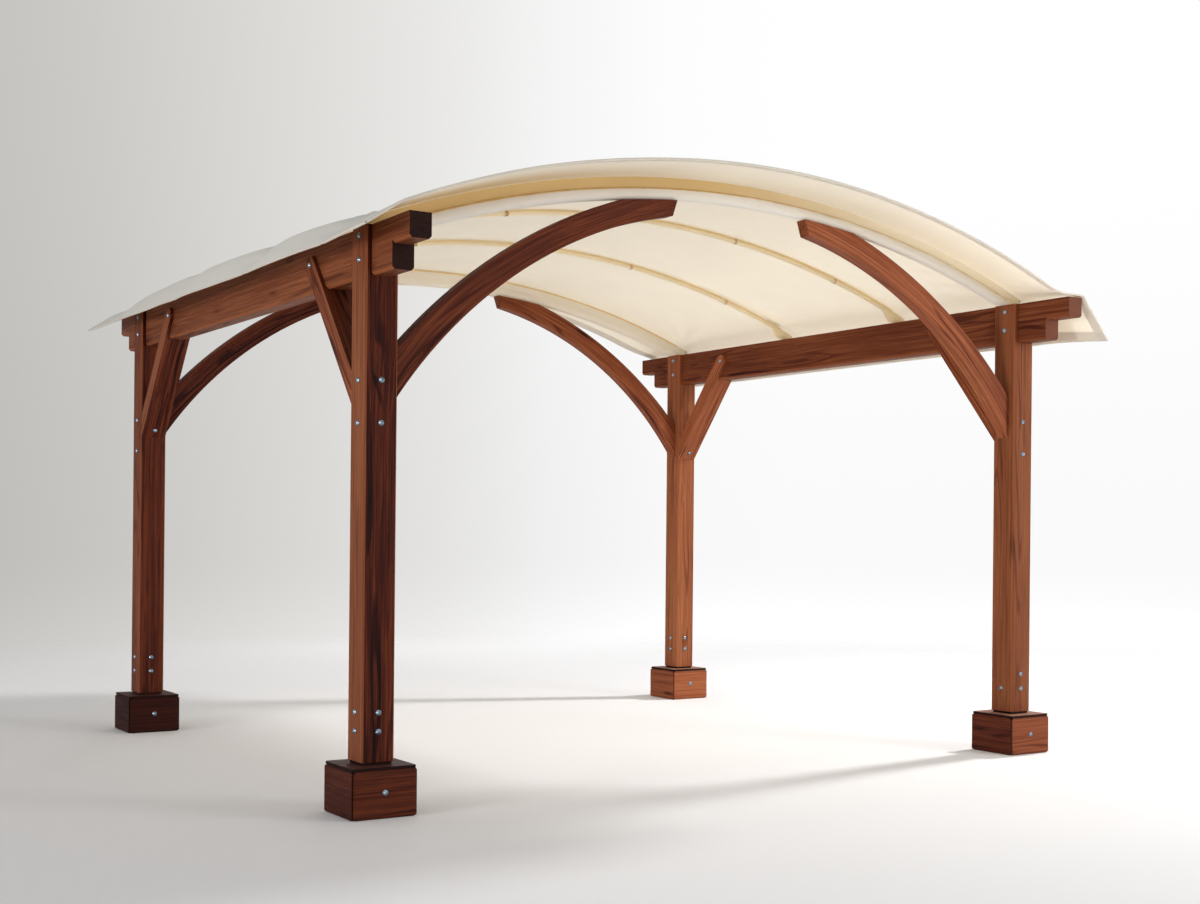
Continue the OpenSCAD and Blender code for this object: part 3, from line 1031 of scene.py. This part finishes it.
def make_hems():
    shape = Shape()
    profile = hem_profile()
    for end in (-1, 1):
        rows = [[off_cloth(d, end * (CLOTH_END - inward), off) for inward, off in profile]
                for d in ACROSS]
        shape.strip([row[::-end] for row in rows])
    for side in (-1, 1):
        rows = [[off_cloth(inward if side < 0 else FLAT_WIDTH - inward, y, off - HEM_TUCK)
                 - Vector((side * min(inward, 0.0), 0, 0)) for inward, off in profile]
                for y in STATIONS]
        shape.strip([row[::side] for row in rows])
    made = shape.make("canopy_hem", [HEM_CANVAS])
    add_uv(made)
    return made


hems = make_hems()
print("hems:", len(hems.data.polygons), "faces")

# %% [markdown]
# ## Rib sleeves
# Each rib is a pole in a sewn sleeve. At the two ends the sleeve hangs on a web of cloth and
# ends in a round pocket, and the arch braces bear on it from below. The two middle sleeves are
# slim tubes that deepen towards the beams. A sleeve is a row of stations along the arc, each
# with the same profile of half widths and depths, and clamped to the beam tops at its feet.

# %% Sleeves
SLEEVE_STEP = 0.02
END_PROFILE = ((0.006, 0.000), (0.007, 0.020), (0.008, 0.040), (0.010, 0.050), (0.016, 0.058),
               (0.022, 0.072), (0.024, 0.086), (0.021, 0.099), (0.012, 0.107), (0.000, 0.1095))
MID_PROFILE = ((0.003, 0.000), (0.005, 0.005), (0.011, 0.010), (0.014, 0.017), (0.011, 0.024),
               (0.006, 0.0275), (0.000, 0.0278))
FLARE_FROM = 1.85
WEB_STEPS = 4
SLOW_PINCH, QUICK_PINCH = 0.0022, 0.0020
SEED_STEP = 5.0
ABOVE_BEAM = 0.0006


def arc_point(x, depth):
    """A point under the cloth's arc at x, at a depth below its underside."""
    angle = math.asin(x / VAULT_R)
    radius = VAULT_R - depth
    return Vector((radius * math.sin(angle), 0, VAULT_Z + radius * math.cos(angle)))


def sleeve_row(x, y, profile, deep, seed):
    """The points round a sleeve at one station."""
    grow = 1.0
    if deep == MID_RIB_DEEP:
        room = arc_point(x, 0).z - BEAM_TOP
        grow += share(abs(x), FLARE_FROM, BEAM_IN) * (room / deep - 1.0)
    row = []
    for side in (-1, 1):
        for half, depth in profile if side < 0 else profile[-2::-1]:
            down = depth / deep
            pinch = (SLOW_PINCH * ripple(x * 9.0, down * 3.0, seed + side)
                     + QUICK_PINCH * ripple(x * 24.0, down * 2.0, seed - side))
            belly = max(0.0, min(down, 1.0 - down)) * 4
            point = arc_point(x, min(depth, deep) * grow)
            point.y = y + side * (half + pinch * belly if half else 0.0)
            point.z = max(point.z, BEAM_TOP + ABOVE_BEAM)
            row.append(point)
    return row


def make_sleeve(rib, y, profile, deep, seed, materials):
    """One sleeve, whose web takes the second material."""
    shape = Shape()
    rows = [sleeve_row(x, y, profile, deep, seed) for x in spread(BEAM_OUT, SLEEVE_STEP)]
    shape.strip(rows)
    steps = len(rows[0]) - 1
    web = WEB_STEPS if deep == END_RIB_DEEP else 0
    shape.slots = [int(min(k % steps, steps - 1 - k % steps) < web)
                   for k in range(len(shape.faces))]
    shape.cap(rows[0])
    shape.cap(rows[-1][::-1])
    made = shape.make(f"sleeve_{rib}", materials, replaces=[f"rib_{rib}"])
    points = made.data.vertices
    add_uv(made, lambda k: (points[k].co.x, points[k].co.y + points[k].co.z))
    return weld(made)


SLEEVE_LOOK = {"front": [SLEEVE_CANVAS, WEB_CANVAS], "rear": [REAR_CANVAS, REAR_CANVAS]}
sleeves = [make_sleeve(rib, y, *((END_PROFILE, END_RIB_DEEP) if rib in SLEEVE_LOOK
                                 else (MID_PROFILE, MID_RIB_DEEP)), number * SEED_STEP,
                       SLEEVE_LOOK.get(rib, [MID_CANVAS_PAINTED_LIGHT, MID_CANVAS_PAINTED_LIGHT]))
           for number, (rib, y) in enumerate(zip(RIBS, RIB_Y))]
print("sleeves:", [s.name for s in sleeves])

# %% [markdown]
# ## Seams and ties
# A felled seam is a folded strip with a row of thread on it, and from a few metres it reads as
# one thin line. Each is a low ribbon laid on the cloth: on both faces of the end sleeves, low
# down at the front one, where the pocket begins, and along both sides of the middle sleeves.
# A few ties hold each middle sleeve to its pole.

# %% Seams and ties
SEAM_HALF, SEAM_PROUD = 0.0048, 0.0012
SEAM_DEEP = (0.053, 0.0, 0.0, 0.008)
SEAM_PROFILE = ((-1, 0), (-0.6, 1), (0.6, 1), (1, 0))
END_SEAM_OUT, MID_SEAM_OUT, MID_SEAM_DEEP = 0.0125, 0.0105, 0.0005
TIE_X = (-1.55, -0.80, -0.05, 0.70, 1.45)
TIE_HALF, TIE_PROUD = 0.009, 0.0022


def seam_point(x, y, side, deep, across, proud):
    """A point of the ribbon on one side of a sleeve: down its face, or out along the cloth."""
    if deep:
        point = arc_point(x, deep + across * SEAM_HALF)
        point.y = y + side * (END_SEAM_OUT + proud * SEAM_PROUD)
        point.z = max(point.z, BEAM_TOP + ABOVE_BEAM)
    else:
        point = arc_point(x, MID_SEAM_DEEP + proud * SEAM_PROUD)
        point.y = y + side * (MID_SEAM_OUT + across * SEAM_HALF)
    return point


def tie_row(x, y):
    """The points round a middle sleeve at one edge of a tie."""
    row = []
    for side in (-1, 1):
        for half, depth in MID_PROFILE if side < 0 else MID_PROFILE[-2::-1]:
            point = arc_point(x, depth + TIE_PROUD * depth / MID_RIB_DEEP)
            point.y = y + (side * (half + TIE_PROUD) if half else 0.0)
            row.append(point)
    return row


def make_seams():
    shape = Shape()
    for y, deep in zip(RIB_Y, SEAM_DEEP):
        for side in (-1, 1):
            rows = [[seam_point(x, y, side, deep, *step) for step in SEAM_PROFILE][::-side]
                    for x in spread(BEAM_IN, SLEEVE_STEP)]
            shape.strip(rows, slot=0 if y == RIB_Y[0] else 1)
    for y in RIB_Y[1:3]:
        for x in TIE_X:
            shape.strip([tie_row(x - TIE_HALF, y), tie_row(x + TIE_HALF, y)])
    made = shape.make("canopy_seams", [THREAD, PALE_THREAD_PAINTED_LIGHT])
    add_uv(made)
    return made


seams = make_seams()
print("seams:", len(seams.data.polygons), "faces")

# %% Corner patches
PATCH_FROM, PATCH_PAST, PATCH_STEPS = 1.79, 0.01, 6
PATCH_START, PATCH_TIP, PATCH_WIDE, PATCH_UNDER = 0.006, 0.004, 0.105, 0.0045


def make_patches():
    """A small triangle of doubled cloth in the corner between each middle sleeve and each beam."""
    shape = Shape()
    left_flap = (SECTION[0] - Vector((-FOLD_X, 0, FOLD_Z))).length
    for rib in RIB_Y[1:3]:
        for side in (-1, 1):
            rows = []
            for n in range(PATCH_STEPS + 1):
                part = n / PATCH_STEPS
                x = side * (PATCH_FROM + (BEAM_IN + PATCH_PAST - PATCH_FROM) * part)
                distance = left_flap + (math.asin(x / SHEET_R) + ARC_HALF) * SHEET_R
                wide = PATCH_TIP + PATCH_WIDE * part
                rows.append([off_cloth(distance, rib + PATCH_START + wide * t, -PATCH_UNDER)
                             for t in (0, 0.25, 0.5, 0.75, 1)])
            shape.strip(rows)
    made = shape.make("canopy_patches", [HEM_CANVAS])
    add_uv(made)
    return made


patches = make_patches()
print("patches:", len(patches.data.polygons), "faces")

# %% [markdown]
# ## Floor and background
# The floor is a wide pale sheet that catches the shadow. Far from the frame it fades to nothing,
# so that it runs into the background without a line. The world shows a pale grey that
# brightens to white on the right, and a little towards the floor, to the camera and to shiny
# metal. It lights everything else with one even white.

# %% Floor
FLOOR_HALF = 40.0
FADE_MIDDLE = (-2.4, -3.6, 0.0)
FADE_FROM, FADE_TO = 8.8, 13.5


def make_floor():
    material, tree, surface = blank_material("studio floor")
    place = coords(tree)
    away = vectors("DISTANCE", {0: place, 1: FADE_MIDDLE})["Value"]
    dust = cloud(place, 0.6, 4.0)
    shader = add("BsdfPrincipled", {
        "Base Color": blend(dust, tint(250, 249, 249), tint(255, 254, 254)),
        "Roughness": 0.85, "Specular IOR Level": 0.2})
    clear = put(tree, "BsdfTransparent")
    mixed = add("MixShader", {0: span(away, FADE_FROM, FADE_TO),
                              1: shader.outputs[0], 2: clear.outputs[0]})
    tree.links.new(mixed.outputs[0], surface)
    mesh = bpy.data.meshes.new("floor")
    corners = [(x * FLOOR_HALF, y * FLOOR_HALF, 0) for x, y in ((-1, -1), (1, -1), (1, 1), (-1, 1))]
    mesh.from_pydata(corners, [], [(0, 1, 2, 3)])
    mesh.materials.append(material)
    in_scene("floor", mesh)


make_floor()
print("floor is", 2 * FLOOR_HALF, "m wide")

# %% World
AMBIENT = 0.40
BACK_STOPS = ((0.31, tint(194, 192, 189)), (0.35, tint(203, 202, 199)),
              (0.385, tint(214, 213, 210)), (0.45, tint(233, 232, 230)),
              (0.485, tint(245, 245, 245)), (0.52, tint(253, 253, 253)),
              (0.56, tint(255, 255, 255)))
# Each sweep goes from one height to another, and from one brightness to another.
FLOOR_SWEEP, WALL_SWEEP = (-0.11, -0.015, 1.17, 1.0), (-0.02, 0.24, 0.955, 1.0)


def make_world():
    world = bpy.data.worlds.new("studio")
    world.use_nodes = True
    scene.world = world
    tree = world.node_tree
    tree.nodes.clear()
    way = coords(tree, "Generated")
    right = (math.cos(CAMERA_YAW), math.sin(CAMERA_YAW), 0.0)
    along = vectors("DOT_PRODUCT", {0: way, 1: right})["Value"]
    back = ramp(plus(times(along, 0.5), 0.5), BACK_STOPS)
    rise = axes(way)[2]
    sweep = times(span(rise, *FLOOR_SWEEP), span(rise, *WALL_SWEEP))
    lifted = vectors("SCALE", {0: back, "Scale": sweep})[0]
    shown = vectors("MINIMUM", {0: lifted, 1: (1, 1, 1)})[0]
    seen = add("Background", {"Color": shown, "Strength": 1.0})
    lights = put(tree, "Background", {"Color": (1, 1, 1, 1), "Strength": AMBIENT})
    path = put(tree, "LightPath").outputs
    straight = sums("MAXIMUM", path["Is Camera Ray"],
                    sums("MAXIMUM", path["Is Glossy Ray"], path["Is Transmission Ray"]))
    mixed = add("MixShader", {0: straight, 1: lights.outputs[0], 2: seen.outputs[0]})
    tree.links.new(mixed.outputs[0], put(tree, "OutputWorld").inputs["Surface"])


make_world()
print("even light of strength", AMBIENT)

# %% [markdown]
# ## Lamps
# One softbox stands high and well off to the right, level with the middle, and throws the
# cloth's broad shadow to the left. Two large dim panels, at the left and at the right front,
# keep the shaded timber readable, and a small one behind brightens the far floor.

# %% Lamps
def softbox(name, place, aim, size, power):
    lamp = bpy.data.lights.new(name, "AREA")
    lamp.shape, lamp.size, lamp.energy = "DISK", size, power
    made = in_scene(name, lamp)
    made.location = place
    made.rotation_euler = (Vector(aim) - Vector(place)).to_track_quat("-Z", "Y").to_euler()


softbox("key softbox", (8.4, -0.75, 6.4), (0, 0, 1.0), 1.05, 630)
softbox("left panel", (-15.0, -4.0, 1.3), (-2, 0, 1.6), 4.0, 950)
softbox("front right panel", (5.5, -8.5, 2.4), (2, -1, 0.9), 3.0, 320)
softbox("far floor panel", (3.2, 8.6, 3.5), (2.9, 6.8, 0), 2.0, 60)
scene.view_settings.view_transform = "Standard"
